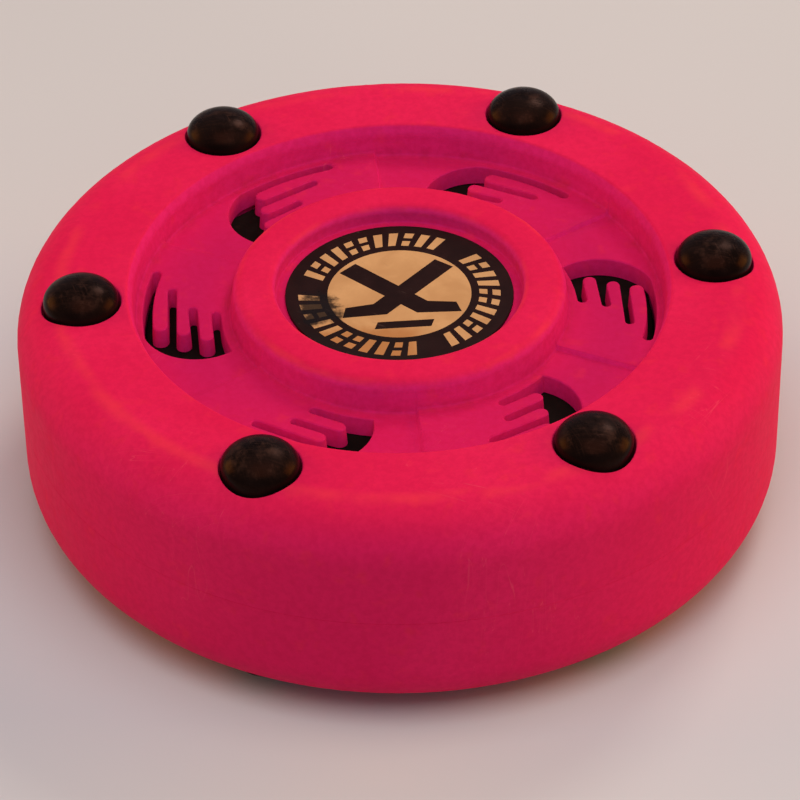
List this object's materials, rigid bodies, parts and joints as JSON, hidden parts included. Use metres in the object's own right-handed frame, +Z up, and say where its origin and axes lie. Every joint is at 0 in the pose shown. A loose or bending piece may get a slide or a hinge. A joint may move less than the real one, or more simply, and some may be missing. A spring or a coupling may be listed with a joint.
{
  "type": "street hockey puck with glide pins",
  "caption": "Round street hockey puck: pink twin-shell body, vented ring channel, hub with a round label, black core, and floating black domed glide pins through the rim.",
  "frame": {"origin": "on the floor under the puck's centre, level with the flat lower ends of the glide pins", "axes": "+Z up, along the puck's axis, out of the upper face; +X through the first glide pin; the pins are numbered anticlockwise seen from above"},
  "size_m": [0.0762, 0.0762, 0.0271],
  "materials": {
    "shell_plastic": "satin moulded plastic, fine grain",
    "core_rubber": "matt black moulding",
    "pin_plastic": "semi-gloss moulded nylon, scuffed",
    "label_print": "gloss printed film, black and tan"
  },
  "bodies": {
    "puck_body": {"upper_shell": "shell_plastic", "lower_shell": "shell_plastic", "inner_core": "core_rubber", "upper_label": "label_print", "lower_label": "label_print"},
    "pin_1": {"glide_pin_1": "pin_plastic"},
    "pin_2": {"glide_pin_2": "pin_plastic"},
    "pin_3": {"glide_pin_3": "pin_plastic"},
    "pin_4": {"glide_pin_4": "pin_plastic"},
    "pin_5": {"glide_pin_5": "pin_plastic"},
    "pin_6": {"glide_pin_6": "pin_plastic"}
  },
  "joints": [
    {"name": "pin_1_float", "type": "slide", "parent": "puck_body", "child": "pin_1", "axis": [0, 0, 1], "range_m": [-0.0006, 0]},
    {"name": "pin_2_float", "type": "slide", "parent": "puck_body", "child": "pin_2", "axis": [0, 0, 1], "range_m": [-0.0006, 0]},
    {"name": "pin_3_float", "type": "slide", "parent": "puck_body", "child": "pin_3", "axis": [0, 0, 1], "range_m": [-0.0006, 0]},
    {"name": "pin_4_float", "type": "slide", "parent": "puck_body", "child": "pin_4", "axis": [0, 0, 1], "range_m": [-0.0006, 0]},
    {"name": "pin_5_float", "type": "slide", "parent": "puck_body", "child": "pin_5", "axis": [0, 0, 1], "range_m": [-0.0006, 0]},
    {"name": "pin_6_float", "type": "slide", "parent": "puck_body", "child": "pin_6", "axis": [0, 0, 1], "range_m": [-0.0006, 0]}
  ]
}
